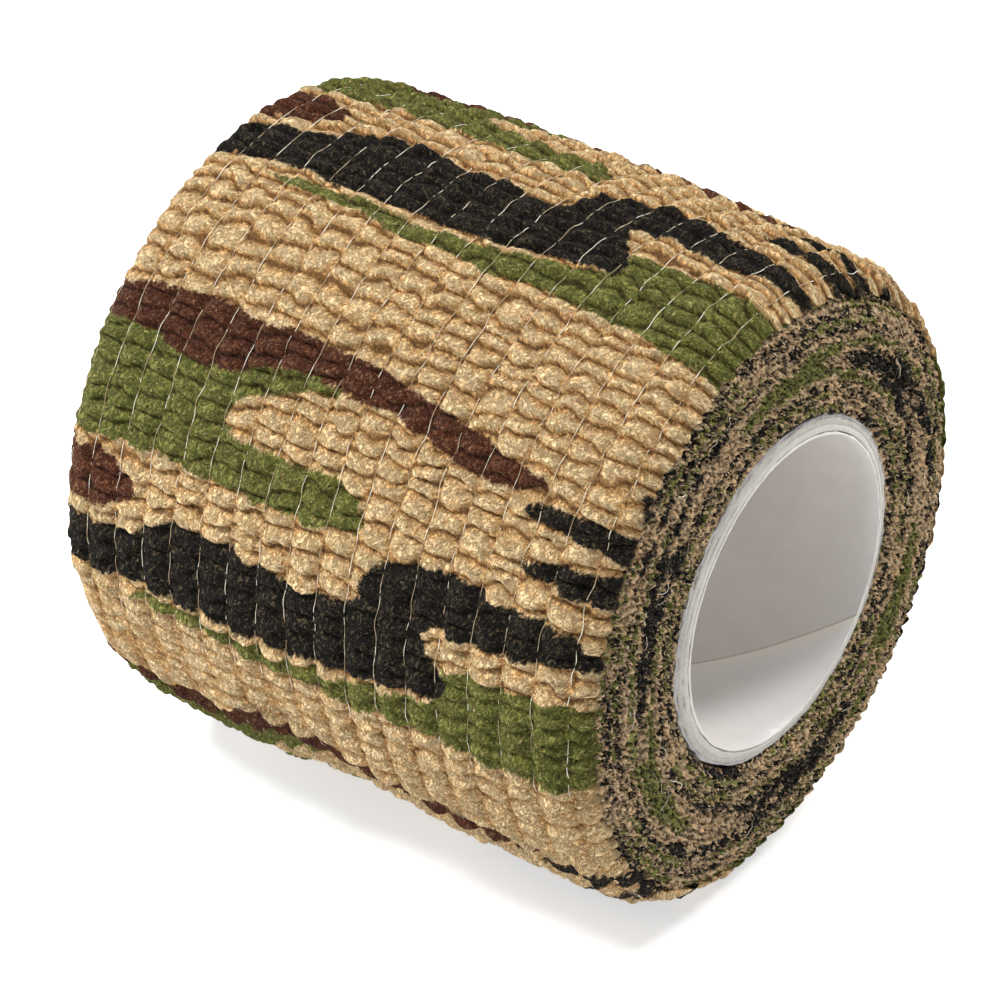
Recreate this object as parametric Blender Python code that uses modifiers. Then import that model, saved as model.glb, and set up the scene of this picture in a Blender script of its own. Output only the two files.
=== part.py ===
"""Roll of self-adherent cohesive wrap (crinkled elastic tape, 50 mm size) on a paper core.

The roll lies on its side: its axis runs along X and it rests on the lowest facet of its outer turn.
Angles about the axis are in degrees, 0 at +Y, 90 at the top, 180 at the front, 270 at the floor.
"""
import math

import bmesh
import bpy
from mathutils import Matrix

MM = 0.001

# Paper core, wound from four plies (outer radii, outside in), with a hair of glue line between them.
CORE_HALF_LENGTH = 25.0
CORE_SEGMENTS = 40
PLIES = (
    # name, inner radius, outer radius
    ("core_liner_ply", 12.15, 12.38),
    ("core_board_ply_inner", 12.40, 12.86),
    ("core_board_ply_outer", 12.88, 13.34),
    ("core_cover_ply", 13.36, 13.60),
)

# The tape: a spiral of 17 turns, in flat facets so that a facet lies level on the floor.
TURNS = 17
SEGMENTS_PER_TURN = 24
SEGMENT_DEG = 360.0 / SEGMENTS_PER_TURN
TAIL_END_DEG = 217.5
LEVEL_SEGMENT_DEG = 262.5
START_RADIUS = 13.95
PITCH = 0.64
TURN_GAP = 0.05
HALF_WIDTH = 24.6
# The crimped edges pack tighter in the outer turns, which gives the roll its barrel and rounded
# shoulders: EDGE_LOSS per turn at the very edge, and the stated shares of it further in.
BARREL_X = 8.0
SHOULDER_X = 20.5
SHOULDER_SHARE = 0.29
FLAT_TURNS = 8
EDGE_LOSS = 0.30
WIDTH_LOSS = 0.08

# Elastic threads lie in valleys of the crinkled web.
THREADS = 18
THREAD_PITCH = 2.69
VALLEY_HALF_WIDTH = 0.42
VALLEY_DEPTH = 0.34
THREAD_HALF_WIDTH = 0.13
THREAD_TOP = 0.04
THREAD_BOTTOM = 0.27

# Stations of the tape, counted from its inner end.
LAST = TURNS * SEGMENTS_PER_TURN
TIP_SEGMENTS = 2
BASE_SEGMENTS = 3
CURL_STATION = LAST - TIP_SEGMENTS
PEEL_STATION = CURL_STATION - BASE_SEGMENTS
OUTER_STATION = PEEL_STATION - SEGMENTS_PER_TURN
FINE_STATION = (FLAT_TURNS - 1) * SEGMENTS_PER_TURN

# Ends of neighbouring strips stop short of their shared station by these shares of a segment.
STRIP_END_TRIM = 0.01
THREAD_END_TRIM = 0.03

GLUE_SEGMENTS = 2
GLUE_HALF_LENGTH = 23.0
GLUE_INNER = 13.75
GLUE_OUTER = 13.92

FIRST_LEVEL = (LAST - round((TAIL_END_DEG - LEVEL_SEGMENT_DEG) / SEGMENT_DEG)) % SEGMENTS_PER_TURN


def angle(k):
    return math.radians(TAIL_END_DEG - SEGMENT_DEG * (LAST - k))


def grown_turns(k):
    """Turns of growth at station k; the segment that lies on the floor keeps its radius."""
    level_passed = max(0, (k - FIRST_LEVEL - 1) // SEGMENTS_PER_TURN + 1)
    return (k - level_passed) / (SEGMENTS_PER_TURN - 1)


def half_width(k):
    return HALF_WIDTH - WIDTH_LOSS * max(0.0, grown_turns(k) - FLAT_TURNS)


def dip(k, x):
    barrel = min(max(0.0, abs(x) - BARREL_X) / (SHOULDER_X - BARREL_X), 1.0)
    shoulder = max(0.0, abs(x) - SHOULDER_X) / (HALF_WIDTH - SHOULDER_X)
    share = SHOULDER_SHARE * barrel + (1.0 - SHOULDER_SHARE) * shoulder
    return EDGE_LOSS * share * max(0.0, grown_turns(k) - FLAT_TURNS)


def inner_radius(k, x):
    return START_RADIUS + PITCH * grown_turns(k) - dip(k, x)


def outer_radius(k, x):
    return inner_radius(k + SEGMENTS_PER_TURN, x) - TURN_GAP


def point(k, x, r):
    return (x, r * math.cos(angle(k)), r * math.sin(angle(k)))


def thread_positions():
    return [(i - (THREADS - 1) / 2) * THREAD_PITCH for i in range(THREADS)]


def plain_section(k):
    """Rectangle: outer row then inner row, each from -X to +X, as (x, radius)."""
    xs = (-half_width(k), half_width(k))
    return [(x, outer_radius(k, x)) for x in xs], [(x, inner_radius(k, x)) for x in xs]


def shouldered_section(k):
    h = half_width(k)
    xs = (-h, -SHOULDER_X, -BARREL_X, BARREL_X, SHOULDER_X, h)
    return [(x, outer_radius(k, x)) for x in xs], [(x, inner_radius(k, x)) for x in xs]


def valley_section(k):
    """Shouldered section with a V valley in the outer face under every thread."""
    top, bottom = shouldered_section(k)
    for x in thread_positions():
        top.append((x - VALLEY_HALF_WIDTH, outer_radius(k, x - VALLEY_HALF_WIDTH)))
        top.append((x, outer_radius(k, x) - VALLEY_DEPTH))
        top.append((x + VALLEY_HALF_WIDTH, outer_radius(k, x + VALLEY_HALF_WIDTH)))
    return sorted(top), bottom


def glue_section(_k):
    xs = (-GLUE_HALF_LENGTH, GLUE_HALF_LENGTH)
    return [(x, GLUE_OUTER) for x in xs], [(x, GLUE_INNER) for x in xs]


def thread_section(x):
    def section(k):
        r = outer_radius(k, x)
        top = [(x - THREAD_HALF_WIDTH, r - THREAD_TOP), (x + THREAD_HALF_WIDTH, r - THREAD_TOP)]
        return top, [(x, r - THREAD_BOTTOM)]
    return section


def rows(section, k, neighbour, trim):
    """Section points at station k, moved towards its neighbour station by the trim share."""
    out = []
    for row, other in zip(section(k), section(neighbour)):
        line = []
        for (x, r), (x2, r2) in zip(row, other):
            a, b = point(k, x, r), point(neighbour, x2, r2)
            line.append(tuple(p + (q - p) * trim for p, q in zip(a, b)))
        out.append(line)
    return out


def strip_mesh(name, section_of, first, last, trim, pivot):
    """Closed strip swept through the stations; section_of(k) gives the section used at station k."""
    bm = bmesh.new()
    stations = []
    for k in range(first, last + 1):
        section = section_of(k)
        neighbour = k + 1 if k == first else k - 1
        share = trim if k in (first, last) else 0.0
        stations.append([[bm.verts.new([(c - o) * MM for c, o in zip(p, pivot)]) for p in row]
                         for row in rows(section, k, neighbour, share)])
    for (top_a, low_a), (top_b, low_b) in zip(stations, stations[1:]):
        for row_a, row_b, flip in ((top_a, top_b, False), (low_a, low_b, True)):
            if len(row_a) == len(row_b):
                cells = [[row_a[i], row_a[i + 1], row_b[i + 1], row_b[i]] for i in range(len(row_a) - 1)]
            else:
                cells = [row_a + row_b[::-1]]
            for cell in cells:
                bm.faces.new(cell[::-1] if flip else cell)
        bm.faces.new([top_a[0], top_b[0], low_b[0], low_a[0]])
        bm.faces.new([top_a[-1], low_a[-1], low_b[-1], top_b[-1]])
    for top, low in (stations[0], stations[-1]):
        bm.faces.new(top + low[::-1])
    bmesh.ops.recalc_face_normals(bm, faces=bm.faces)
    mesh = bpy.data.meshes.new(name)
    bm.to_mesh(mesh)
    bm.free()
    return mesh


def material(name, colour, roughness, sheen=0.0):
    mat = bpy.data.materials.new(name)
    mat.use_nodes = True
    shader = mat.node_tree.nodes["Principled BSDF"]
    shader.inputs["Base Color"].default_value = (*colour, 1.0)
    shader.inputs["Roughness"].default_value = roughness
    shader.inputs["Metallic"].default_value = 0.0
    shader.inputs["Sheen Weight"].default_value = sheen
    return mat


def add_part(collection, name, mesh, location, look):
    obj = bpy.data.objects.new(name, mesh)
    obj.location = [c * MM for c in location]
    mesh.materials.append(material(name, *look))
    mesh.shade_smooth()
    mesh.set_sharp_from_angle(angle=math.radians(20))
    collection.objects.link(obj)
    return obj


def ply_mesh(name, outer):
    """Open tube at the ply's outer radius; Solidify gives it the ply's thickness."""
    bm = bmesh.new()
    bmesh.ops.create_cone(bm, cap_ends=False, segments=CORE_SEGMENTS, radius1=outer * MM,
                          radius2=outer * MM, depth=2 * CORE_HALF_LENGTH * MM)
    bmesh.ops.rotate(bm, verts=bm.verts, matrix=Matrix.Rotation(math.radians(90), 3, "Y"))
    bmesh.ops.recalc_face_normals(bm, faces=bm.faces)
    mesh = bpy.data.meshes.new(name)
    bm.to_mesh(mesh)
    bm.free()
    return mesh


TAPE_LOOK = ((0.55, 0.41, 0.26), 0.95, 0.3)
UNDER_LOOK = ((0.33, 0.30, 0.18), 0.95, 0.3)
THREAD_LOOK = ((0.86, 0.84, 0.78), 0.45)
GLUE_LOOK = ((0.85, 0.80, 0.62), 0.35)
PLY_LOOKS = (
    ((0.86, 0.86, 0.87), 0.30),
    ((0.70, 0.66, 0.58), 0.85),
    ((0.72, 0.69, 0.61), 0.85),
    ((0.78, 0.82, 0.86), 0.60),
)


def outline():
    """Corners of the visible outer turn and tail, used to set the roll on the floor."""
    pts = []
    for k in range(OUTER_STATION, LAST + 1):
        pts.append(point(k, 0.0, outer_radius(k, 0.0)))
    return pts


def main():
    for obj in list(bpy.data.objects):
        bpy.data.objects.remove(obj, do_unlink=True)
    collection = bpy.data.collections.new("cohesive_wrap_roll")
    bpy.context.scene.collection.children.link(collection)

    ys = [p[1] for p in outline()]
    zs = [p[2] for p in outline()]
    axis_at = (0.0, -(min(ys) + max(ys)) / 2, -min(zs))

    def placed(pivot):
        return [a + p for a, p in zip(axis_at, pivot)]

    centre = (0.0, 0.0, 0.0)
    peel_pivot = point(PEEL_STATION, 0.0, outer_radius(PEEL_STATION, 0.0))
    curl_pivot = point(CURL_STATION, 0.0, outer_radius(CURL_STATION, 0.0))

    for (name, inner, outer), look in zip(PLIES, PLY_LOOKS):
        obj = add_part(collection, name, ply_mesh(name, outer), placed(centre), look)
        wall = obj.modifiers.new("wall", "SOLIDIFY")
        wall.thickness = (outer - inner) * MM
        wall.offset = -1.0
        wall.use_even_offset = True

    def winding_section(k):
        return shouldered_section if k >= FINE_STATION else plain_section

    strips = (
        # name, section at a station, first station, last station, pivot, look
        ("start_glue_strip", lambda k: glue_section, 0, GLUE_SEGMENTS, centre, GLUE_LOOK),
        ("tape_winding", winding_section, 0, OUTER_STATION, centre, UNDER_LOOK),
        ("tape_outer_turn", lambda k: valley_section, OUTER_STATION, PEEL_STATION, centre, TAPE_LOOK),
        ("tape_tail_base", lambda k: valley_section, PEEL_STATION, CURL_STATION, peel_pivot, TAPE_LOOK),
        ("tape_tail_tip", lambda k: shouldered_section, CURL_STATION, LAST, curl_pivot, TAPE_LOOK),
    )
    for name, section_of, first, last, pivot, look in strips:
        mesh = strip_mesh(name, section_of, first, last, STRIP_END_TRIM, pivot)
        add_part(collection, name, mesh, placed(pivot), look)

    for i, x in enumerate(thread_positions(), start=1):
        runs = (
            ("elastic_thread_%02d" % i, OUTER_STATION, PEEL_STATION, centre),
            ("tail_thread_%02d" % i, PEEL_STATION, CURL_STATION, peel_pivot),
        )
        for name, first, last, pivot in runs:
            mesh = strip_mesh(name, lambda k: thread_section(x), first, last, THREAD_END_TRIM, pivot)
            add_part(collection, name, mesh, placed(pivot), THREAD_LOOK)


main()
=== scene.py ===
"""Roll of camouflage-print cohesive wrap on a paper core, lying on its side on a pale floor."""
import math

import bpy
import numpy as np
from mathutils import Matrix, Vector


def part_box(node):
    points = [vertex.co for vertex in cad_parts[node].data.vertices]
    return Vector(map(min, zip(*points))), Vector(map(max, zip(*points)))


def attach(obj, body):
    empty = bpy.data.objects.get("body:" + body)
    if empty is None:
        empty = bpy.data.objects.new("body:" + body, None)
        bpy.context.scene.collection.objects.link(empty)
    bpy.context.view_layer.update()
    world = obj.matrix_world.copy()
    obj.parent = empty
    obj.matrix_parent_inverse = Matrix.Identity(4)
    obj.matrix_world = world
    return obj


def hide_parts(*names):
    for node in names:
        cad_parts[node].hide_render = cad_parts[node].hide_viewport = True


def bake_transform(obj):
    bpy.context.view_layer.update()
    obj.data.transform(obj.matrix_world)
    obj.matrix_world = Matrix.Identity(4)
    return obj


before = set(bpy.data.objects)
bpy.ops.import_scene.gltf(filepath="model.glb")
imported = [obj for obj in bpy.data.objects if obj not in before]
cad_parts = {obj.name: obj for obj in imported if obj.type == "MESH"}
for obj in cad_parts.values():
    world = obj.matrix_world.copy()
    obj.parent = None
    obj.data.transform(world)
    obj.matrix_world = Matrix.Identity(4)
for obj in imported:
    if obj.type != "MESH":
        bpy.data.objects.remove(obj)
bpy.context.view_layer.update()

# ---------------------------------------------------------------- driving sizes, in millimetres
MM = 0.001
START_RADIUS, PITCH, TURN_GAP, TURNS = 13.95, 0.64, 0.05, 17
VALLEY = 0.40               # how far the thread valleys lie under a turn's face radius
TAIL_END = 217.5            # degrees about the axis: 0 at +Y, 90 at the top, 180 at the front
A_END = TURNS * 360.0       # the tape's own angle in degrees, counted from its inner end
PEEL_A, CURL_A = A_END - 75.0, A_END - 30.0   # the tail's two hinges
A_START = PEEL_A - 360.0    # the outer turn is the last full one before the peel hinge
MOTIF_A = A_END - 87.5      # where a motif of the print starts
THREADS, THREAD_PITCH = 18, 2.69
THREAD_SHIFT = -0.42        # the threads lie a little off the middle of the web
THREAD_SIDES = 6
ROW = 1.58                  # length of one puff along the tape
LEAN = 0.35                 # how far the crests fold over towards the tail, per unit of height
HALF_WIDTH = 23.75
WEB_STEP, WEB_COLUMNS = 0.46, 197   # the web's mesh: degrees along the tape, points across it
REPEAT = 36.2               # print repeat along the tape
MM_PER_DEG = 0.4416         # length of tape for each degree of the outer turn
FAR_SIDE, FAR_LENGTH, FAR_STRETCH = -36.0, 80.0, 15.1   # the print is longer round the far side
INNER_STRETCH, INNER_PHASE = 0.96, 7.0   # scale and start of the print along the inner turns
END_SHIFT = 26.3            # how far from the tape's middle the cut edges of the turns take their print
SEAM_LEAD, SEAM_START = 86.2, 52.3   # the liner's helical seam: one turn in 86 mm
SEAM_WIDTH = 51.0                    # width of the liner's paper strip, measured across the seam

low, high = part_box("core_liner_ply")
AXIS_Y, AXIS_Z = (low.y + high.y) / 2 / MM, (low.z + high.z) / 2 / MM


# ---------------------------------------------------------------- noise and small helpers
def hashed(i, j, seed=0):
    """A repeatable number from 0 to 1 for each pair of whole numbers."""
    h = (np.asarray(i).astype(np.int64) * 374761393 + np.asarray(j).astype(np.int64) * 668265263
         + seed * 974634777) & 0xFFFFFFFF
    h = ((h ^ (h >> 13)) * 1274126177) & 0xFFFFFFFF
    h = ((h ^ (h >> 15)) * 2246822519) & 0xFFFFFFFF
    return ((h ^ (h >> 16)) & 0xFFFFFF) / float(0xFFFFFF)


def noise(x, y, seed=0):
    """Smooth value noise, 0 to 1, one cell per unit."""
    x, y = np.broadcast_arrays(np.asarray(x, float), np.asarray(y, float))
    i, j = np.floor(x), np.floor(y)
    u, v = x - i, y - j
    u, v = u * u * u * (u * (6 * u - 15) + 10), v * v * v * (v * (6 * v - 15) + 10)
    a, b = hashed(i, j, seed), hashed(i + 1, j, seed)
    c, d = hashed(i, j + 1, seed), hashed(i + 1, j + 1, seed)
    return (a * (1 - u) + b * u) * (1 - v) + (c * (1 - u) + d * u) * v


def fractal(x, y, seed=0, octaves=3):
    """Value noise in several sizes, each half as large as the last."""
    total, weight, size = 0.0, 0.0, 1.0
    for k in range(octaves):
        total = total + size * noise(x * 2 ** k, y * 2 ** k, seed + 17 * k)
        weight += size
        size *= 0.55
    return total / weight


def worley(x, y, seed=0):
    """Distance to the nearest scattered point, one point per unit cell."""
    i, j = np.floor(x), np.floor(y)
    best = np.full(np.shape(x), 9.0)
    for di in (-1, 0, 1):
        for dj in (-1, 0, 1):
            px = i + di + hashed(i + di, j + dj, seed)
            py = j + dj + hashed(i + di, j + dj, seed + 5)
            best = np.minimum(best, np.hypot(x - px, y - py))
    return best


def smooth(t):
    """Smooth step from 0 to 1."""
    t = np.clip(t, 0.0, 1.0)
    return t * t * (3 - 2 * t)


def bell(t):
    """A bump of height 1 at t = 0, down to about a third at t = 1."""
    return np.exp(-t ** 2)


def above(z, lowest, softness=0.10):
    """Height z, eased so that it doesn't go under the lowest one."""
    return lowest + softness * np.logaddexp(0.0, (z - lowest) / softness)


# ---------------------------------------------------------------- the tape's own shape
SHOULDER, EDGE = 20.0, 25.0         # where the tape starts to fall off across its width, and ends
BARREL_DROP, EDGE_DROP = 1.03, 4.77
SAG_AT, SAG_SPREAD = 238.0, 28.0    # the loosely wound roll bulges out of round at its lower front
SAG_ACROSS = (-24, -10, -5, -1, 3, 7, 11, 15, 20, 24)
SAG_AMOUNT = (0.6, 0.6, 0, -0.35, 0, 0.4, 0.6, 0.9, 1.1, 1.3)


def face_radius(a):
    """Radius of a turn's outer face at tape angle a."""
    return START_RADIUS + PITCH * (a / 360.0 + 1) - TURN_GAP


def length_at(a):
    """Millimetres of tape up to angle a, in the print's coordinates: 0 where a motif starts."""
    scale = MM_PER_DEG / (math.radians(1) * face_radius(MOTIF_A))
    turn = math.radians(1) * (START_RADIUS + PITCH)
    grow = math.radians(1) * PITCH / 360.0
    run = turn * (a - MOTIF_A) + grow * (a * a - MOTIF_A * MOTIF_A) / 2
    return run * scale


def print_place(s):
    """Place in the print at place s on the tape, which is stretched a little round the far side."""
    return s + FAR_STRETCH * np.clip((FAR_SIDE - s) / FAR_LENGTH, 0, 1)


def shoulder_drop(x):
    """How much lower the tape lies towards its crimped edges, on the outer turn."""
    ax = np.abs(x)
    barrel = BARREL_DROP * (np.minimum(ax, SHOULDER) / EDGE) ** 2
    u = np.clip((ax - SHOULDER) / (EDGE - SHOULDER), 0.0, 0.995)
    return barrel + EDGE_DROP * (1 - np.sqrt(1 - u * u))


def sag(phi, x):
    """How far the roll bulges out of round at angle phi about its axis and place x along it."""
    return np.interp(x, SAG_ACROSS, SAG_AMOUNT) * bell((np.mod(phi, 360.0) - SAG_AT) / SAG_SPREAD)


def puffs(s, x, loose=0.0):
    """The crinkled web, by rows of puffs between its threads.

    Gives its height over the valleys, how deep in a crease a place is, which the material paints as shade,
    and the place's share of its row.
    """
    u = (x - THREAD_SHIFT) / THREAD_PITCH + 0.5
    col = np.floor(u)
    v = u - col
    bow = (noise(s / 1.9, 5.1 * col, 6) - 0.35) * np.sin(np.pi * v)
    phase = (s / ROW + 0.62 * hashed(col, 0 * col, 3) + 0.70 * noise(s / 3.0, 7.3 * col, 12)
             + 1.1 * noise(s / 9.0, x / 14.0, 4) + 0.55 * noise(s / 1.5, x / 1.3, 5) + 0.34 * bow)
    row = np.floor(phase)
    q = phase - row
    size = 0.54 + 0.34 * hashed(col, row, 7)
    across = np.clip(1 - np.abs(2 * v - 1) ** 2.0, 0, 1) ** 0.72
    along = np.sin(np.pi * q ** 1.35) ** (0.80 + 0.55 * hashed(col, row, 11))
    height = size * (0.14 * across + 0.86 * along * (0.12 + 0.88 * across))
    # where the tape is loose, the puffs are flatter, with thin ribs instead
    ribs = np.abs(2 * noise(s / 0.75 + 1.2 * noise(s / 2.0, x / 1.6, 35), x / 2.0, 31) - 1)
    height = height * (1 - 0.78 * loose) - loose * 0.15 * (1 - smooth(ribs / 0.5))
    lumps = fractal(s / 0.60, x / 0.75, 8)
    wrinkle = 1 - np.abs(2 * fractal(s / 0.9, x / 1.4, 10) - 1)
    pits = smooth(1 - worley(s / 0.5, x / 0.5, 9) / 0.45)
    height = height + (1 - 0.80 * loose) * (0.26 * (lumps - 0.5) + 0.24 * (wrinkle - 0.7) - 0.12 * pits)
    # crease: where the material paints shade, between the rows, beside the threads, in the pits and between
    # the slack ribs
    crease = bell(q / 0.10) + bell((1 - q) / 0.15)
    crease = crease * (1 - 0.6 * loose) + 0.40 * loose * (1 - smooth(ribs / 0.4))
    crease = np.clip(crease + 0.5 * (1 - across) ** 2 + 0.4 * (1 - 0.6 * loose) * pits, 0, 1)
    # painted shade in the pocket under each overhanging crest, deeper in some puffs than in others
    pocket = bell(q / 0.36) * across * (0.3 + 0.7 * hashed(col, row, 13)) * (1 - loose)
    return height, np.maximum(crease, 0.5 * pocket), q


def tape_points(a, x, height):
    """World positions in metres; the roll's weight flattens it a little on the floor."""
    lean = LEAN * np.clip(height, 0, 1) / MM_PER_DEG
    phi = TAIL_END + a + lean - A_END
    angle = np.radians(phi)
    r = face_radius(a) - VALLEY + height - shoulder_drop(x) * (a / A_END) + sag(phi, x)
    y = AXIS_Y + r * np.cos(angle)
    z = above(AXIS_Z + r * np.sin(angle), 0.02)
    return np.stack([x, y, z], -1) * MM


def looseness(a, x):
    """Where the tail's end has relaxed and its puffs have gone slack, 0 to 1; less so on the right."""
    return smooth((a - (A_END - 33.0)) / 14.0) * (0.35 + 0.65 * smooth((4.0 - x) / 9.0))


def web(a, v):
    """Outer face of the web at tape angles a and shares v (-1 to 1) of its half width."""
    s = length_at(a)
    x_in = v * HALF_WIDTH
    height, crease, q = puffs(s, x_in, looseness(a, x_in))
    rough = 0.50 * (fractal(s / 0.9, np.sign(v) * 7 + x_in / 1.5, 45) - 0.5)
    height = height + smooth((np.abs(v) - 0.90) / 0.06) * rough
    scallop = 0.34 * np.sin(np.pi * q) - 0.10 + 0.34 * (fractal(s / 0.9, np.sign(v) * 3 + 0 * s, 44) - 0.45)
    x = x_in + smooth((np.abs(v) - 0.94) / 0.06) * np.sign(v) * scallop
    # the last strand of web outside the edge threads rolls inwards
    roll = smooth((np.abs(x_in) - 23.0) / 0.9)
    height = height * (1 - 0.25 * roll) - 0.18 * roll
    return s, x, height, crease


def tail_lift(a, x):
    """How far the relaxed end of the tail stands off the turn under it."""
    t = smooth((a - (A_END - 34.0)) / 28.0)
    pucker = 0.50 * bell((x + 9.0) / 2.4) + 0.20 * bell((x + 16.0) / 2.2)
    folds = 0.30 * (fractal(x / 2.6, a / 40.0, 33) - 0.35)
    dent = 0.25 * bell((x + 4.5) / 2.0)
    return t * t * (pucker - dent + folds)


def pressed(a):
    """Where the tail lies on the turn under it and flattens its puffs, 0 to 1."""
    return smooth((A_END - 360.0 - 9.5 - a) / 5.0)


# ---------------------------------------------------------------- the camouflage print
# Outlines of one motif, drawn as (across the tape, along the tape) in millimetres.
BROWN_STRIPE = ((-27, 1.0), (-22, 1.2), (-20, 0.6), (-15, 0.2), (-10, 0.4), (-5, 0.2), (0, 0.4), (3, 1.0),
                (7, 1.6), (11, 2.3), (15, 3.3), (17, 3.8), (17, 4.2), (15, 4.9), (12, 4.9), (9, 4.7),
                (6.5, 4.0), (4, 3.4), (1, 3.4), (-2, 2.9), (-6, 2.9), (-8, 3.5), (-10, 4.5), (-13, 5.2),
                (-16, 4.9), (-18, 4.2), (-21, 4.0), (-27, 4.3))
BROWN_PATCH = ((-27, 14.8), (-23, 14.3), (-20, 14.2), (-18, 15.0), (-16, 16.1), (-16.4, 17.0), (-18, 18.0),
               (-21, 18.8), (-23, 19.4), (-27, 19.8))
GREEN_FIELD = ((-27, 3.6), (-18, 3.8), (-10, 3.8), (-5, 2.5), (-1, 3.0), (-1.5, 3.6), (-4, 4.2), (-6, 5.0),
               (-9, 6.2), (-9.9, 7.5), (-9.6, 8.5), (-8.5, 9.2), (-6, 9.5), (-3, 9.3), (1, 9.2), (3, 9.8),
               (3.8, 11), (3.5, 12.4), (1.5, 12.9), (-3, 12.9), (-8, 12.9), (-14, 12.7), (-18, 12.9),
               (-22, 13.5), (-27, 14.0))
GREEN_PATCH = ((11.5, 22.8), (12.0, 19.9), (14, 19.7), (17, 19.6), (20, 19.4), (25, 19.3), (26, 18.4),
               (27, 18.2), (27, 28.6), (26, 28.4), (25, 27.5), (20, 27.3), (17, 26.9), (13, 26.5),
               (7, 26.4), (4, 26.8), (0, 26.4), (-4, 26.6), (-8, 26.0), (-12, 25.7), (-15, 25.8),
               (-17, 25.3), (-14, 24.8), (-10, 24.75), (-6, 25.0), (-2, 25.0), (2, 24.6), (6, 23.9),
               (9, 23.4))
BLACK_BRANCH = ((-27, 21.2), (-23, 20.4), (-20, 20.2), (-17.5, 20.0), (-15.5, 19.3), (-15, 18.4),
                (-12.5, 17.4), (-9.5, 17.0), (-7, 17.2), (-5, 17.8), (0, 17.9), (3, 17.8), (4.6, 16.8),
                (4.9, 15.2), (5.6, 14.0), (7.5, 13.2), (9.5, 12.5), (13, 12.3), (16, 12.8), (19, 13.2),
                (22, 13.7), (24, 14.6), (27, 15.0), (27, 15.8), (23.5, 16.0), (20.5, 16.3), (18.5, 16.8),
                (15, 17.0), (12.5, 16.7), (10.8, 16.9), (10.2, 17.6), (10.6, 18.8), (11.8, 20.1),
                (12.6, 21.3), (12.3, 22.4), (10, 23.0), (7.5, 23.2), (5, 23.5), (2, 24.0), (-2, 24.2),
                (-6, 24.3), (-12, 24.2), (-17, 24.0), (-21, 24.5), (-23, 25.2), (-27, 25.8))
BLACK_FORK = ((15.9, 5.8), (17.5, 5.1), (20, 5.2), (23, 5.0), (24.6, 4.9), (27, 4.4), (27, 15.2),
              (25.0, 15.0), (24.6, 10.8), (23, 10.7), (20, 10.3), (18, 10.2), (16.4, 10.0), (17.8, 9.1),
              (20, 8.6), (22, 8.6), (23.4, 8.3), (23.7, 7.4), (22.5, 7.1), (20, 6.9), (18, 6.6), (16.5, 6.4))
BLACK_SPOT = ((23.2, 1.6), (24.5, 1.2), (27, 1.4), (27, 4.0), (24, 3.6))
BLACK = (BLACK_BRANCH, BLACK_FORK, BLACK_SPOT)
GREEN = (GREEN_FIELD, GREEN_PATCH)
BROWN = (BROWN_STRIPE, BROWN_PATCH)
# The tape's cut end, in the same coordinates.
CUT_ACROSS = (-24, -22, -18.5, -16, -13, -10.5, -8.5, -6.5, -5, -3.5, -1.8, 0.8, 2, 6.5, 15, 20, 24)
CUT_ALONG = (36.4, 36.2, 36.1, 35.8, 34.9, 35.2, 33.8, 32.5, 32.3, 32.4, 32.6, 34, 34.5, 34.9, 35.6, 36.2, 37)


def tail_edge(x):
    """Angle of the tape's cut end across its width: a wavy cut, shortest where the tail puckers."""
    along = np.interp(x, CUT_ACROSS, CUT_ALONG) + 0.5 * (fractal(x / 0.8, 0 * x, 41) - 0.5)
    return MOTIF_A + along / MM_PER_DEG


def outline_distance(x, s, outline):
    """Distance to an outline in millimetres, positive inside."""
    pts = np.array(outline, float)
    near = np.full(x.shape, 1e9)
    inside = np.zeros(x.shape, bool)
    for (x0, y0), (x1, y1) in zip(pts, np.roll(pts, -1, axis=0)):
        dx, dy = x1 - x0, y1 - y0
        t = np.clip(((x - x0) * dx + (s - y0) * dy) / (dx * dx + dy * dy), 0, 1)
        near = np.minimum(near, np.hypot(x - x0 - t * dx, s - y0 - t * dy))
        if y0 != y1:
            crosses = (s >= min(y0, y1)) & (s < max(y0, y1))
            inside ^= crosses & (x < x0 + (s - y0) * dx / dy)
    return np.where(inside, near, -near)


def inks(s, x):
    """Distance fields of the black, green and brown inks at a place in the print, with ragged edges."""
    x = x + 0.9 * (fractal(s / 2.2, x / 2.2, 21) - 0.5)
    s = s + 0.7 * (fractal(s / 1.8, x / 1.8, 22) - 0.5)
    here = np.mod(s, REPEAT)
    fields = []
    for outlines in (BLACK, GREEN, BROWN):
        places = [(outline, here - shift) for outline in outlines for shift in (0.0, REPEAT)]
        fields.append(np.max([outline_distance(x, place, outline) for outline, place in places], 0))
    return fields


def print_fields(place, x, crease, inner, where):
    """The fields that the web's material reads; where is its place in the material's noise."""
    black, green, brown = inks(place, x)
    return {"ink_black": black.ravel(), "ink_green": green.ravel(), "ink_brown": brown.ravel(),
            "crease": crease.ravel(), "inner": inner.ravel(),
            "tape": np.stack([axis.ravel() for axis in where], 1)}


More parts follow.
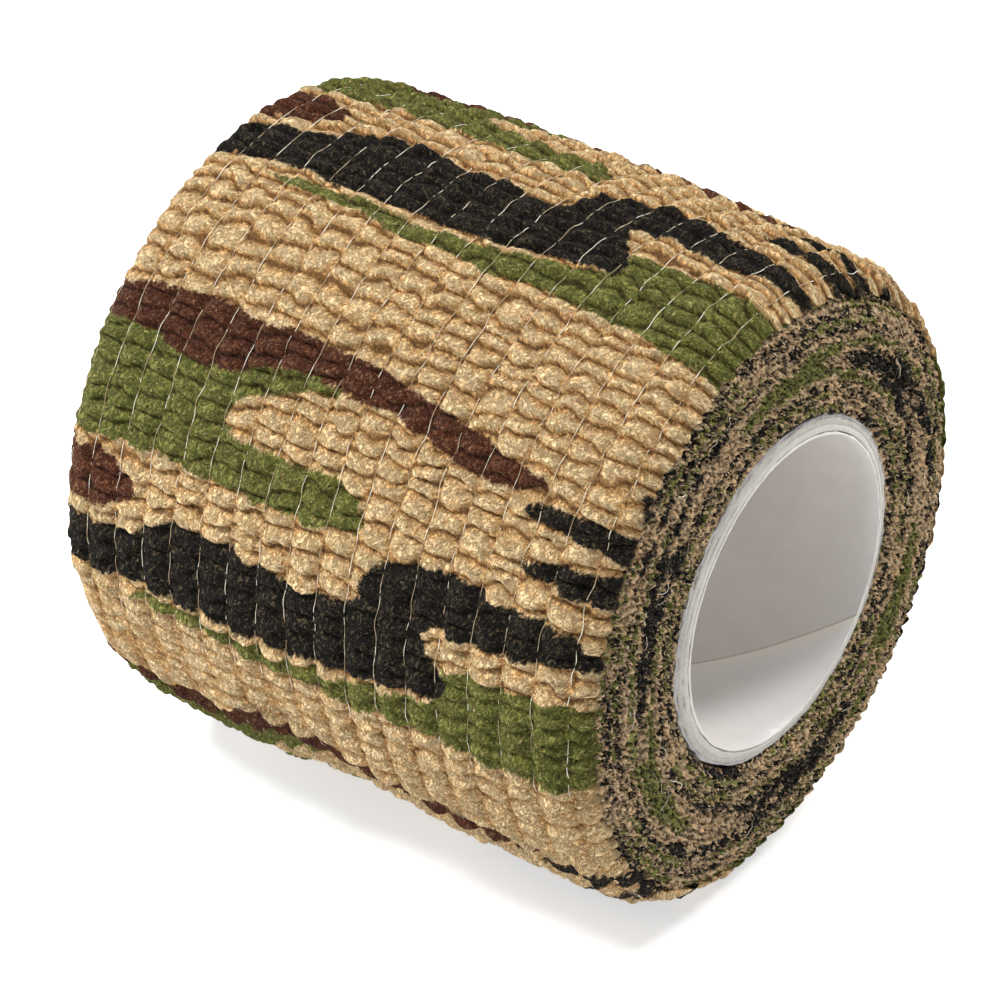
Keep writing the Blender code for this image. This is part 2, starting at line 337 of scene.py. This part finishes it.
# ---------------------------------------------------------------- mesh making
def build(name, verts, quads, polygons=(), fields=None, sharp=False):
    """One mesh object from arrays, with float or vector attributes on its points."""
    sizes = [4] * len(quads) + [len(p) for p in polygons]
    loops = np.concatenate([np.asarray(quads).ravel()] + [np.asarray(p) for p in polygons]).astype(np.int32)
    mesh = bpy.data.meshes.new(name)
    mesh.vertices.add(len(verts))
    mesh.vertices.foreach_set("co", np.asarray(verts, np.float32).ravel())
    mesh.loops.add(len(loops))
    mesh.loops.foreach_set("vertex_index", loops)
    mesh.polygons.add(len(sizes))
    starts = np.concatenate([[0], np.cumsum(sizes)[:-1]]).astype(np.int32)
    mesh.polygons.foreach_set("loop_start", starts)
    mesh.polygons.foreach_set("use_smooth", np.ones(len(sizes), bool))
    mesh.update(calc_edges=True)
    mesh.validate()
    for key, value in (fields or {}).items():
        value = np.asarray(value, np.float32)
        if value.ndim == 2:
            mesh.attributes.new(key, "FLOAT_VECTOR", "POINT").data.foreach_set("vector", value.ravel())
        else:
            mesh.attributes.new(key, "FLOAT", "POINT").data.foreach_set("value", value.ravel())
    if sharp:
        mesh.set_sharp_from_angle(angle=math.radians(80))
    obj = bpy.data.objects.new(name, mesh)
    bpy.context.scene.collection.objects.link(obj)
    return obj


def grid_quads(n, m, wrap_n=False, wrap_m=False, base=0):
    """Quads of an n by m grid of points, facing along (first axis) x (second axis)."""
    i = np.arange(n if wrap_n else n - 1)
    j = np.arange(m if wrap_m else m - 1)
    i, j = [g.ravel() for g in np.meshgrid(i, j, indexing="ij")]
    i2, j2 = (i + 1) % n, (j + 1) % m
    return np.stack([i * m + j, i2 * m + j, i2 * m + j2, i * m + j2], 1) + base


def tube_faces(n, sides, base, inward):
    """Quads and the two caps of a tube of n rings; inward says that its rings' points run the other way."""
    quads = grid_quads(n, sides, wrap_m=True, base=base)
    first, last = base + np.arange(sides), base + (n - 1) * sides + np.arange(sides)
    return (quads[:, ::-1], [first, last[::-1]]) if inward else (quads, [first[::-1], last])


# ---------------------------------------------------------------- the web: outer turn, tail and end faces
def web_shares(a0, a1):
    """Grid over a length of tape: shares 0 to 1 along it, and -1 to 1 across it."""
    n = int(round((a1 - a0) / WEB_STEP)) + 1
    return np.meshgrid(np.linspace(0, 1, n), np.linspace(-1, 1, WEB_COLUMNS), indexing="ij")


def web_fields(s, x, crease, inner):
    """The material's fields for a length of web; its inner face takes another part of the noise."""
    return print_fields(print_place(s), x, crease, inner, (s, x, 7.0 * inner))


def outer_turn(name, a0, a1):
    """A length of the outer turn: the web's outer face, closed by a plain face under it."""
    t, v = web_shares(a0, a1)
    a = a0 + (a1 - a0) * t
    s, x, height, crease = web(a, v)
    flat = pressed(a)
    pts = tape_points(a, x, height * (1 - 0.72 * flat) - 0.20 * flat)
    rows, m = pts.shape[:2]
    left = np.arange(rows) * m
    right = left + m - 1
    under = np.stack([left[:-1], right[:-1], right[1:], left[1:]], 1)
    quads = np.concatenate([grid_quads(rows, m), under])
    caps = [np.arange(m), (np.arange(m) + (rows - 1) * m)[::-1]]
    fields = web_fields(s, x, crease, np.zeros_like(s))
    return build(name, pts.reshape(-1, 3), quads, caps, fields, sharp=True)


def tail_sheet(name, a0, a1, cut=False):
    """A length of the free tail: both faces of the web, closed at its ends and edges."""
    t, v = web_shares(a0, a1)
    end = tail_edge(v * HALF_WIDTH) if cut else a1
    a = a0 + (end - a0) * t
    s, x, height, crease = web(a, v)
    lift = tail_lift(a, x) if cut else 0.0
    over = tape_points(a, x, height + lift)
    under = tape_points(a, x, 0.6 * height - 0.16 + lift)
    loop = np.concatenate([over, under[:, ::-1]], 1)
    rows, m = loop.shape[:2]
    j = np.arange(WEB_COLUMNS - 1)
    first = np.stack([j, j + 1, m - 2 - j, m - 1 - j], 1)
    last = first[:, ::-1] + (rows - 1) * m
    quads = np.concatenate([grid_quads(rows, m, wrap_m=True), first, last])
    s, x, crease = [np.concatenate([field, field[:, ::-1]], 1) for field in (s, x, crease)]
    inner = np.concatenate([np.zeros_like(a), np.ones_like(a)], 1)
    return build(name, loop.reshape(-1, 3), quads, (), web_fields(s, x, crease, inner), sharp=True)


END_INNER, END_OUTER, END_BACK = 13.60, 23.45, 15.0   # an end face's radii, and how far out its back is
END_PITCH = (23.2 - START_RADIUS) / TURNS             # the crimped edges lie closer than the turns
END_REACH_AT = (END_INNER, 14.3, 19.5, 21.4, 22.6, 23.35)
END_REACH = (24.36, 24.60, 24.60, 24.2, 23.5, 22.4)


def end_layers(r, phi, seed):
    """The turns' cut edges on an end face: distance to the nearest one, and the place in the print."""
    y, z = r * np.cos(np.radians(phi)), r * np.sin(np.radians(phi))
    share = np.mod(phi - TAIL_END, 360.0) / 360.0
    warped = r + 0.30 * (fractal(y / 1.3, z / 1.3, seed) - 0.5)
    warped = warped + 0.34 * (noise(y / 0.38, z / 0.38, seed + 1) - 0.5)
    slide = fractal(y / 1.2, z / 1.2, seed + 2) - 0.5
    mixed = warped + 1.1 * (fractal(y / 0.30, z / 0.30, seed + 4, octaves=2) - 0.5)
    near, near_mixed, place = np.full(r.shape, 9.0), np.full(r.shape, 9.0), np.zeros(r.shape)
    first = np.floor((warped - START_RADIUS) / END_PITCH - share)
    for step in (-2, -1, 0, 1, 2):
        layer = first + step
        turn = layer + share
        arc = 2 * math.pi * (START_RADIUS * turn + END_PITCH * turn * turn / 2)
        s = INNER_STRETCH * arc + INNER_PHASE + slide
        q = s / 0.74 + 0.9 * noise(s / 1.8, 5.0 * layer, seed + 5) + hashed(layer, 0 * layer, seed)
        size = 0.5 + 0.9 * noise(s / 2.3, 3.0 * layer, seed + 8)
        wave = size * (0.13 * np.sin(2 * np.pi * q) + 0.05 * np.sin(4 * np.pi * q + 2.0 * layer))
        slope = size * 0.6 * np.cos(2 * np.pi * q)
        away = np.abs(warped - START_RADIUS - END_PITCH * turn - wave) / np.sqrt(1 + slope ** 2)
        near = np.minimum(near, away)
        away = np.abs(mixed - START_RADIUS - END_PITCH * turn)
        place = np.where(away < near_mixed, s, place)
        near_mixed = np.minimum(near_mixed, away)
    return near, place


def winding_end(name, side, around=1150, rings=118):
    """One end face of the wound turns: the crimped edges of the spiral's layers, with pockets between."""
    seed = 60 if side > 0 else 80
    phi = np.linspace(0, 360, around, endpoint=False)[:, None]
    r, wide_phi = np.broadcast_arrays(np.linspace(END_INNER, END_OUTER, rings)[None, :], phi)
    near, place = end_layers(r, wide_phi, seed)
    y, z = r * np.cos(np.radians(phi)), r * np.sin(np.radians(phi))
    tufts = fractal(y / 0.25, z / 0.25, seed + 3, octaves=2)
    ridge = bell(near / 0.10)
    rise = 0.20 * ridge * (0.5 + tufts) + 0.56 * (tufts - 0.5) - 0.10
    rise = rise * (0.2 + 0.8 * smooth((r - END_INNER) / 0.6))
    face_x = side * (np.interp(r, END_REACH_AT, END_REACH) + rise)
    # crease: painted shade in the pockets between the crests of the cut edges
    crease = np.clip(1.0 - ridge * (0.5 + tufts), 0, 1)
    # the closed back of this piece, inside the roll
    back_r = np.array([END_OUTER, END_INNER])[None, :] + 0 * phi
    r, x = np.concatenate([r, back_r], 1), np.concatenate([face_x, END_BACK * side + 0 * back_r], 1)
    place, crease = np.concatenate([place, 0 * back_r], 1), np.concatenate([crease, 1 + 0 * back_r], 1)
    r = r + sag(phi, SAG_ACROSS[-1] * side) * (r / END_OUTER) ** 3
    y = AXIS_Y + r * np.cos(np.radians(phi))
    z = above(AXIS_Z + r * np.sin(np.radians(phi)), 0.5)
    across = np.full(r.shape, END_SHIFT * side)
    fields = print_fields(place, across, crease, np.zeros_like(r), (y, z, x))
    quads = grid_quads(around, r.shape[1], wrap_n=True, wrap_m=True)
    return build(name, np.stack([x, y, z], -1).reshape(-1, 3) * MM, quads[:, ::side], (), fields)


# ---------------------------------------------------------------- threads and fibres
def thread_tubes(name, a0, a1, radius=0.027, step=1.0):
    """Elastic threads in the web's valleys, each a closed tube."""
    n = int(round((a1 - a0) / step)) + 1
    a = np.linspace(a0, a1, n)
    s = length_at(a)
    verts, quads, caps = [], [], []
    for i in range(THREADS):
        middle = (i - (THREADS - 1) / 2) * THREAD_PITCH + THREAD_SHIFT
        x = middle + 0.26 * (noise(s / 1.3, 0 * s + i, 51) - 0.5)
        height = 0.17 + 0.24 * (noise(s / 1.1, 0 * s + i * 3, 52) - 0.5)
        angles = [2 * math.pi * k / THREAD_SIDES for k in range(THREAD_SIDES)]
        ring = [tape_points(a, x + radius * math.cos(t), height + radius * math.sin(t)) for t in angles]
        verts.append(np.stack(ring, 1).reshape(-1, 3))
        faces, ends = tube_faces(n, THREAD_SIDES, i * n * THREAD_SIDES, inward=True)
        quads.append(faces)
        caps += ends
    return build(name, np.concatenate(verts), np.concatenate(quads), caps)


def loose_fibres(name, count=60, n=18, sides=5):
    """Fine fibres that have come loose from the cut edges, lying over both end faces."""
    verts, quads, caps = [], [], []
    t = np.linspace(0, 1, n)
    for i in range(count):
        side = 1 if i % 3 else -1
        pick = hashed(np.full(6, i), np.arange(6), 91)
        r0, phi0 = 15.0 + 6.5 * pick[0], 2 * math.pi * pick[1]
        length = 0.8 + 1.6 * pick[2]
        bends = np.cumsum(noise(t * 5.0, 0 * t + 3.7 * i, 93) - 0.5) * 0.5
        course = phi0 + 1.57 + 1.2 * (pick[3] - 0.5) + bends
        y = AXIS_Y + r0 * math.cos(phi0) + np.cumsum(np.cos(course)) * length / n
        z = AXIS_Z + r0 * math.sin(phi0) + np.cumsum(np.sin(course)) * length / n
        x = side * (24.66 + 0.45 * np.sin(np.pi * t) * pick[4] + 0.15 * noise(t * 6.0, 0 * t + i, 94))
        radius = 0.018 + 0.010 * pick[5]
        ring = []
        for k in range(sides):
            angle = 2 * math.pi * k / sides
            out, aside = radius * math.cos(angle), radius * math.sin(angle)
            ring.append(np.stack([x + out, y - aside * np.sin(course), z + aside * np.cos(course)], -1))
        verts.append(np.stack(ring, 1).reshape(-1, 3) * MM)
        faces, ends = tube_faces(n, sides, i * n * sides, inward=False)
        quads.append(faces)
        caps += ends
    return build(name, np.concatenate(verts), np.concatenate(quads), caps)


# ---------------------------------------------------------------- the paper core
def core_tube(name, r_in, r_out, half_in, half_out, seed, ragged, around=300):
    """A ply of the core: a closed tube whose cut ends slope outwards and are slightly ragged."""
    phi = np.linspace(0, 2 * math.pi, around, endpoint=False)[:, None]
    ends = [ragged * (fractal(phi * 9.0, 0 * phi, seed + 3 * k) - 0.5) for k in range(2)]
    edge = 0.02                 # bevel at a cut end's corners
    rows_r, rows_x = [], []

    def cut_end(radii, side, end):
        for r in radii:
            jag = 0.5 * ragged * (noise(phi * 30.0, 0 * phi + r * 9.0, seed + 5) - 0.5)
            bevel = edge if r in (r_in, r_out) else 0.0
            fray = 1.4 * ragged * (fractal(phi * 16.0, 0 * phi, seed + 9) - 0.5) if r == r_out else 0.0
            rows_r.append(r + fray + 0 * phi)
            half = half_in + (half_out - half_in) * (r - r_in) / (r_out - r_in)
            rows_x.append(side * (half + end + jag - bevel))

    def wall(r, half, places):
        for u in places[1:-1]:
            rows_r.append(r + 0 * phi)
            rows_x.append(u * (half - 0.1) + 0 * phi)

    across = (r_in, r_in + edge, (r_in + r_out) / 2, r_out - edge, r_out)
    cut_end(across, 1, ends[0])
    wall(r_out, half_out, np.linspace(1, -1, 9))
    cut_end(across[::-1], -1, ends[1])
    wall(r_in, half_in, np.linspace(-1, 1, 41))
    r, x = np.concatenate(rows_r, 1), np.concatenate(rows_x, 1)
    pts = np.stack([x, AXIS_Y + r * np.cos(phi), AXIS_Z + r * np.sin(phi)], -1) * MM
    quads = grid_quads(around, r.shape[1], wrap_n=True, wrap_m=True)[:, ::-1]
    return build(name, pts.reshape(-1, 3), quads)


# ---------------------------------------------------------------- materials
class Nodes:
    """Small helper for wiring a procedural material."""

    def __init__(self, name):
        self.mat = bpy.data.materials.new(name)
        self.mat.use_nodes = True
        self.tree = self.mat.node_tree
        self.shader = self.tree.nodes["Principled BSDF"]

    def add(self, kind, **settings):
        node = self.tree.nodes.new(kind)
        for key, value in settings.items():
            setattr(node, key, value)
        return node

    def link(self, source, target):
        self.tree.links.new(source, target)

    def feed(self, socket, value):
        if isinstance(value, bpy.types.NodeSocket):
            self.link(value, socket)
        else:
            socket.default_value = value

    def set(self, **values):
        """Constants on the shader's own sockets; an underscore stands for a space."""
        for key, value in values.items():
            self.shader.inputs[key.replace("_", " ")].default_value = value

    def attribute(self, name, vector=False):
        node = self.add("ShaderNodeAttribute", attribute_name=name)
        return node.outputs["Vector" if vector else "Fac"]

    def math(self, operation, a, b=0.0, clamp=False):
        node = self.add("ShaderNodeMath", operation=operation, use_clamp=clamp)
        self.feed(node.inputs[0], a)
        self.feed(node.inputs[1], b)
        return node.outputs[0]

    def ramp(self, value, low, high, to_low=0.0, to_high=1.0):
        node = self.add("ShaderNodeMapRange", interpolation_type="SMOOTHSTEP")
        for socket, v in zip(node.inputs, (value, low, high, to_low, to_high)):
            self.feed(socket, v)
        return node.outputs[0]

    def noise(self, vector, scale, detail=3.0, roughness=0.55, distortion=0.0, colour=False):
        node = self.add("ShaderNodeTexNoise")
        self.feed(node.inputs["Vector"], vector)
        node.inputs["Scale"].default_value = scale
        node.inputs["Detail"].default_value = detail
        node.inputs["Roughness"].default_value = roughness
        node.inputs["Distortion"].default_value = distortion
        return node.outputs[1 if colour else 0]

    def mix(self, factor, a, b, blend="MIX"):
        node = self.add("ShaderNodeMix", data_type="RGBA", blend_type=blend)
        self.feed(node.inputs[0], factor)
        self.feed(node.inputs[6], a)
        self.feed(node.inputs[7], b)
        return node.outputs[2]

    def bump(self, height, strength, distance):
        node = self.add("ShaderNodeBump")
        node.inputs["Strength"].default_value = strength
        node.inputs["Distance"].default_value = distance
        self.link(height, node.inputs["Height"])
        self.link(node.outputs[0], self.shader.inputs["Normal"])


def rgb(r, g, b):
    """Linear colour from 0-255 display values."""
    out = [((c / 255 + 0.055) / 1.055) ** 2.4 if c > 10 else c / 255 / 12.92 for c in (r, g, b)]
    return (*out, 1.0)


def web_weave(n, where, bent, fibre):
    """How light the web's face is: fibres and a few strands, with pits between them painted dark as shade."""
    thin = n.noise(where, 0.75, 2.0)
    pores = n.add("ShaderNodeTexVoronoi", feature="F1")
    n.feed(pores.inputs["Vector"], bent)
    pores.inputs["Scale"].default_value = 2.5
    # painted shade: the pores are painted dark
    pit = n.ramp(pores.outputs["Distance"], 0.08, 0.22, 0.9, 0.0)
    pit = n.math("MULTIPLY", pit, n.ramp(thin, 0.45, 0.58))
    strand = n.math("ABSOLUTE", n.math("SUBTRACT", n.noise(bent, 3.0, 3.0, 0.6, 0.8), 0.5))
    strand = n.ramp(strand, 0.0, 0.05, 0.34, 0.0)
    weave = n.math("ADD", n.math("MULTIPLY", n.ramp(fibre, 0.41, 0.56), 0.52), n.math("ADD", strand, 0.32))
    return n.math("SUBTRACT", weave, pit, clamp=True)


def edge_weave(n, where, crease):
    """How light the turns' cut edges are: flecked, and lighter on their crests, partly the pale cut fibres
    and partly painted light.
    """
    # the crests painted lighter and the crevices darker: partly painted light and shade
    rim = n.math("SUBTRACT", 1.0, crease)
    fleck = n.noise(where, 3.6, 3.0, 0.66, 1.2)
    return n.ramp(n.math("ADD", n.math("MULTIPLY", rim, 0.22), fleck), 0.42, 0.61)


def fabric_material(name, edge=False):
    """Crinkled non-woven web with printed inks and brown-shaded creases; edge is for its cut edges."""
    n = Nodes(name)
    where = n.attribute("tape", vector=True)
    crease, inner = n.attribute("crease"), n.attribute("inner")
    bent = n.add("ShaderNodeVectorMath", operation="MULTIPLY_ADD")
    n.feed(bent.inputs[0], n.noise(where, 1.7, 2.0, colour=True))
    bent.inputs[1].default_value = (0.6, 0.6, 0.6)
    n.feed(bent.inputs[2], where)
    fibre = n.noise(bent.outputs[0], 4.0, 4.0, 0.68, 1.2)
    weave = edge_weave(n, where, crease) if edge else web_weave(n, where, bent.outputs[0], fibre)

    def shade(dark, light):
        """Colour from a crevice's tone to a fibre's; the cut edges have more contrast, which deepens their
        painted shade and light.
        """
        if edge:
            dark, light = [c * 0.5 for c in dark], [c * 1.04 + 16 for c in light]
        return n.mix(weave, rgb(*dark), rgb(*light))

    # the tan ground, with warmer clouds; painted amber shade in the creases and pockets, or on the edges
    # light specks of pale fibre and painted glints
    colour = shade((100, 68, 40), (229, 194, 148)) if edge else shade((138, 98, 56), (255, 228, 178))
    warm = n.ramp(n.noise(where, 0.9, 3.0, 0.6), 0.48, 0.66, 0.0, 0.38)
    colour = n.mix(warm, colour, n.mix(1.0, colour, (0.86, 0.66, 0.46, 1), "MULTIPLY"))
    if edge:
        # light specks: pale fibres, partly painted glints
        specks_and_glints = n.noise(where, 3.9, 3.0, 0.62)
        colour = n.mix(n.ramp(specks_and_glints, 0.50, 0.62, 0.0, 0.60), colour, rgb(255, 234, 204))
    else:
        # painted shade: the creases and pockets are painted a darker amber
        pocket_shade = n.mix(1.0, colour, (0.78, 0.58, 0.38, 1), "MULTIPLY")
        colour = n.mix(n.math("MULTIPLY", n.ramp(crease, 0.0, 0.5), 0.85), colour, pocket_shade)

    # the inks, with ragged edges, and bare fibres that each misses
    jitter = n.noise(where, 2.6, 4.0, 0.62)
    spread = n.math("MULTIPLY", n.math("SUBTRACT", jitter, 0.5), 2.4 if edge else 1.1)
    bare = n.ramp(n.noise(where, 4.2, 4.0, 0.68, 0.6), 0.54, 0.68)
    black_inset = 0.30 if edge else 0.0
    for key, dark, light, missed, inset in (("ink_green", (14, 20, 4), (128, 131, 62), 0.45, 0.0),
                                            ("ink_brown", (26, 10, 7), (104, 56, 37), 0.30, 0.0),
                                            ("ink_black", (3, 3, 3), (26, 25, 22), 0.14, black_inset)):
        place = n.math("SUBTRACT", n.attribute(key), inset)
        cover = n.ramp(n.math("ADD", place, spread), -0.14, 0.14)
        cover = n.math("MULTIPLY", cover, n.math("SUBTRACT", 1.0, n.math("MULTIPLY", bare, missed)))
        cover = n.math("MULTIPLY", cover, n.ramp(inner, 0.0, 1.0, 1.0, 0.7))
        colour = n.mix(cover, colour, shade(dark, light))
    if edge:
        # more light specks over the inks: pale fibres, partly painted glints
        colour = n.mix(n.ramp(specks_and_glints, 0.53, 0.64, 0.0, 0.30), colour, rgb(222, 210, 184))
    else:
        colour = n.mix(n.ramp(fibre, 0.54, 0.66, 0.0, 0.5), colour, rgb(124, 108, 82), "LIGHTEN")

    # uneven wear, and the shade in the creases
    tone = n.ramp(n.noise(where, 0.9, 3.0), 0.28, 0.72)
    worn = n.mix(tone, (0.80, 0.80, 0.78, 1), (1.17, 1.17, 1.17, 1))
    worn = n.mix(1.0, colour, worn, "MULTIPLY")
    # painted shade: the creases are darkened with a brown tint
    shadow = n.math("MULTIPLY", crease, 0.36) if edge else n.math("MULTIPLY", n.ramp(crease, 0.45, 1.0), 0.80)
    crease_shade_tint = (0.21, 0.17, 0.12, 1) if edge else (0.24, 0.17, 0.11, 1)
    colour = n.mix(shadow, worn, n.mix(1.0, worn, crease_shade_tint, "MULTIPLY"))
    n.link(colour, n.shader.inputs["Base Color"])
    n.set(Roughness=0.9, Sheen_Weight=0.02, Specular_IOR_Level=0.06)
    n.bump(n.math("ADD", weave, n.math("MULTIPLY", fibre, 0.8)), 1.0, 0.00045 if edge else 0.00027)
    return n.mat


def thread_material():
    """Off-white elastic thread, with painted glints: lighter stretches along it."""
    n = Nodes("elastic_thread")
    glint_noise = n.noise(n.add("ShaderNodeTexCoord").outputs["Object"], 620.0, 3.0)
    # painted highlights: the lighter stretches stand for glints along the thread
    colour = n.mix(n.ramp(glint_noise, 0.44, 0.60), rgb(160, 142, 110), rgb(238, 230, 210))
    n.link(colour, n.shader.inputs["Base Color"])
    n.set(Roughness=0.38, Subsurface_Weight=0.15, Subsurface_Scale=0.0003)
    n.bump(glint_noise, 0.3, 0.00004)
    return n.mat


def seam_offset(n, place):
    """Millimetres from the liner's helical butt seam, across it, found from the place itself."""
    xyz = n.add("ShaderNodeSeparateXYZ")
    n.link(place, xyz.inputs[0])
    x, y, z = xyz.outputs
    y = n.math("SUBTRACT", y, AXIS_Y * MM)
    z = n.math("SUBTRACT", z, AXIS_Z * MM)
    turn = n.math("DIVIDE", n.math("ARCTAN2", z, y), 2 * math.pi)
    lead = n.math("DIVIDE", n.math("ADD", x, SEAM_START * MM), SEAM_LEAD * MM)
    strip = n.math("FRACT", n.math("ADD", n.math("SUBTRACT", turn, lead), 2.5))
    return n.math("MULTIPLY", n.math("SUBTRACT", strip, 0.5), SEAM_WIDTH)


def paper_material(name, light, dark, roughness, scale, strength, coat=0.0, seam=False):
    """Paper or board with grain and clouds; beside the liner's seam a strip is painted lighter, for light on
    the bore's lower side, and there is a fine line.
    """
    n = Nodes(name)
    place = n.add("ShaderNodeTexCoord").outputs["Object"]
    grain = n.noise(place, scale, 5.0, 0.65)
    cloud = n.noise(place, scale * 0.08, 2.0)
    both = n.math("ADD", n.math("MULTIPLY", grain, 0.6), n.math("MULTIPLY", cloud, 0.4))
    colour = n.mix(n.ramp(both, 0.35, 0.65), dark, light)
    height = grain
    if seam:
        off = seam_offset(n, place)
        line = n.ramp(n.math("ABSOLUTE", off), 0.02, 0.09, 1.0, 0.0)
        before = n.math("SUBTRACT", 1.0, n.ramp(off, -0.02, 0.02))
        # painted light: on one side of the seam the liner is painted lighter towards it, for the light that
        # falls on the bore's lower side
        pale = n.math("MULTIPLY", before, n.ramp(off, -14.0, -0.5, 0.0, 0.5))
        colour = n.mix(pale, colour, rgb(243, 242, 240))
        cream = n.math("MULTIPLY", before, n.ramp(off, -0.9, -0.1))
        colour = n.mix(n.math("MULTIPLY", cream, 0.5), colour, rgb(236, 229, 210))
        colour = n.mix(n.math("MULTIPLY", line, 0.55), colour, rgb(150, 138, 118))
        height = n.math("ADD", n.math("MULTIPLY", grain, 0.3), n.ramp(off, -0.03, 0.03))
    n.link(colour, n.shader.inputs["Base Color"])
    n.set(Roughness=roughness, Coat_Weight=coat, Coat_Roughness=0.25)
    n.bump(height, strength, 0.00005)
    return n.mat


# ---------------------------------------------------------------- camera, floor and light
VIEW_AZIMUTH, VIEW_ELEVATION = 36.3, 34.22      # degrees
VIEW_DISTANCE, VIEW_RIGHT, VIEW_UP = 470.1, -0.744, -1.585   # in millimetres
LENS, SENSOR = 226.8, 36.0
FLOOR_HALF = 3.0                                # in metres


def aim(data, azimuth, elevation, distance, target, aside=0.0, over=0.0):
    """Places a camera or light so that it looks towards the target; aside and over shift it, in metres."""
    az, el = math.radians(azimuth), math.radians(elevation)
    back = np.array([math.sin(az) * math.cos(el), -math.cos(az) * math.cos(el), math.sin(el)])
    right = np.array([math.cos(az), math.sin(az), 0.0])
    up = np.cross(back, right)
    place = target + back * distance + right * aside + up * over
    obj = bpy.data.objects.new(data.name, data)
    rows = [(*axes, at) for axes, at in zip(np.stack([right, up, back], 1), place)]
    obj.matrix_world = Matrix(rows + [(0, 0, 0, 1)])
    bpy.context.scene.collection.objects.link(obj)
    return obj


def make_camera():
    """A long lens, a little off the roll's middle."""
    cam = bpy.data.cameras.new("camera")
    cam.sensor_width = SENSOR
    cam.lens = LENS
    cam.clip_start, cam.clip_end = 0.01, 10.0
    target = np.array([0.0, AXIS_Y, AXIS_Z]) * MM
    bpy.context.scene.camera = aim(cam, VIEW_AZIMUTH, VIEW_ELEVATION, VIEW_DISTANCE * MM, target,
                                   VIEW_RIGHT * MM, VIEW_UP * MM)


def area_light(name, azimuth, elevation, distance, size, power):
    """A disc light; distance and size are in metres, power in watts."""
    light = bpy.data.lights.new(name, "AREA")
    light.shape = "DISK"
    light.size = size
    light.energy = power
    aim(light, azimuth, elevation, distance, np.array([0, 0, AXIS_Z * MM]))


def make_studio():
    """A pale floor, a grey-white world and three lights."""
    corners = np.array([(-1, -1, 0), (1, -1, 0), (1, 1, 0), (-1, 1, 0)], float) * FLOOR_HALF
    floor = build("floor", corners, np.array([[0, 1, 2, 3]]))
    n = Nodes("floor")
    n.set(Base_Color=(0.60, 0.60, 0.60, 1), Roughness=0.9, Specular_IOR_Level=0.1)
    n.set(Emission_Color=(1, 1, 1, 1), Emission_Strength=0.58)
    floor.data.materials.append(n.mat)
    world = bpy.data.worlds.new("studio")
    world.use_nodes = True
    background = world.node_tree.nodes["Background"]
    background.inputs["Color"].default_value = (1, 1, 1, 1)
    background.inputs["Strength"].default_value = 0.34
    bpy.context.scene.world = world
    area_light("key", -42, 54, 0.7, 0.16, 6.1)
    area_light("low_left", -66, 20, 0.8, 0.45, 3.7)
    area_light("back_right", 158, 43, 0.7, 0.20, 4.0)
    bpy.context.scene.view_settings.view_transform = "Standard"


# ---------------------------------------------------------------- assembly
SPLIT_PEEL, SPLIT_CURL = PEEL_A - 15.5, PEEL_A + 22.5   # where the web is cut into pieces
MIDDLE = (A_START + SPLIT_PEEL) / 2
THREADS_END = CURL_A + 6.0  # where the tail's end goes slack, its threads no longer show


def finish_piece(obj, material):
    """Gives a piece its look."""
    obj.data.materials.append(material)


make_camera()
make_studio()

FABRIC = fabric_material("camouflage_web")
EDGES = fabric_material("camouflage_edges", edge=True)
THREAD = thread_material()

turns = (outer_turn("outer_turn_back", A_START, MIDDLE), outer_turn("outer_turn_front", MIDDLE, SPLIT_PEEL))
base = tail_sheet("tail_web_base", SPLIT_PEEL, SPLIT_CURL)
tip = tail_sheet("tail_web_tip", SPLIT_CURL, A_END, cut=True)
ends = (winding_end("winding_end_pos_x", 1), winding_end("winding_end_neg_x", -1))
for obj in (*turns, base, tip):
    finish_piece(obj, FABRIC)
for obj in ends:
    finish_piece(obj, EDGES)

for obj in turns:
    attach(obj, "roll")
    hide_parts("tape_outer_turn")
for obj in ends:
    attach(obj, "roll")
    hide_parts("tape_winding", "start_glue_strip")
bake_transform(base)
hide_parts("tape_tail_base")
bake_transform(tip)
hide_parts("tape_tail_tip")

fibres = loose_fibres("loose_fibres")
finish_piece(fibres, THREAD)
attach(fibres, "roll")

numbers = ["%02d" % i for i in range(1, THREADS + 1)]
threads = thread_tubes("elastic_threads", A_START, SPLIT_PEEL)
finish_piece(threads, THREAD)
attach(threads, "roll")
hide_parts(*["elastic_thread_" + number for number in numbers])
threads = thread_tubes("tail_threads_base", SPLIT_PEEL, SPLIT_CURL)
finish_piece(threads, THREAD)
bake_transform(threads)
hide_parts(*["tail_thread_" + number for number in numbers])
threads = thread_tubes("tail_threads_tip", SPLIT_CURL, THREADS_END)
finish_piece(threads, THREAD)
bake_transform(threads)

# name, node, inner and outer radius, half length inside and outside, ragged ends, slot, material
plies = (
    ("core_liner", "core_liner_ply", 12.15, 12.33, 24.84, 24.80, 0.08, "liner_paper",
     paper_material("liner_paper", rgb(214, 209, 205), rgb(208, 203, 199), 0.5, 700.0, 0.25, 0.1, seam=True)),
    ("core_board_inner", "core_board_ply_inner", 12.41, 12.88, 24.78, 24.66, 0.07, "core_board",
     paper_material("core_board_inner", rgb(198, 195, 188), rgb(184, 180, 172), 0.85, 3000.0, 0.4)),
    ("core_board_outer", "core_board_ply_outer", 12.88, 13.35, 24.66, 24.52, 0.09, "core_board",
     paper_material("core_board_outer", rgb(186, 183, 176), rgb(168, 164, 156), 0.85, 3000.0, 0.4)),
    ("core_cover", "core_cover_ply", 13.35, 13.58, 24.52, 24.42, 0.26, "cover_paper",
     paper_material("cover_paper", rgb(184, 181, 180), rgb(160, 157, 157), 0.7, 1500.0, 0.5)),
)
for i, (name, node, r_in, r_out, half_in, half_out, ragged, slot, material) in enumerate(plies):
    obj = core_tube(name, r_in, r_out, half_in, half_out, 100 + 7 * i, ragged)
    finish_piece(obj, material)
    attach(obj, "roll")
    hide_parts(node)
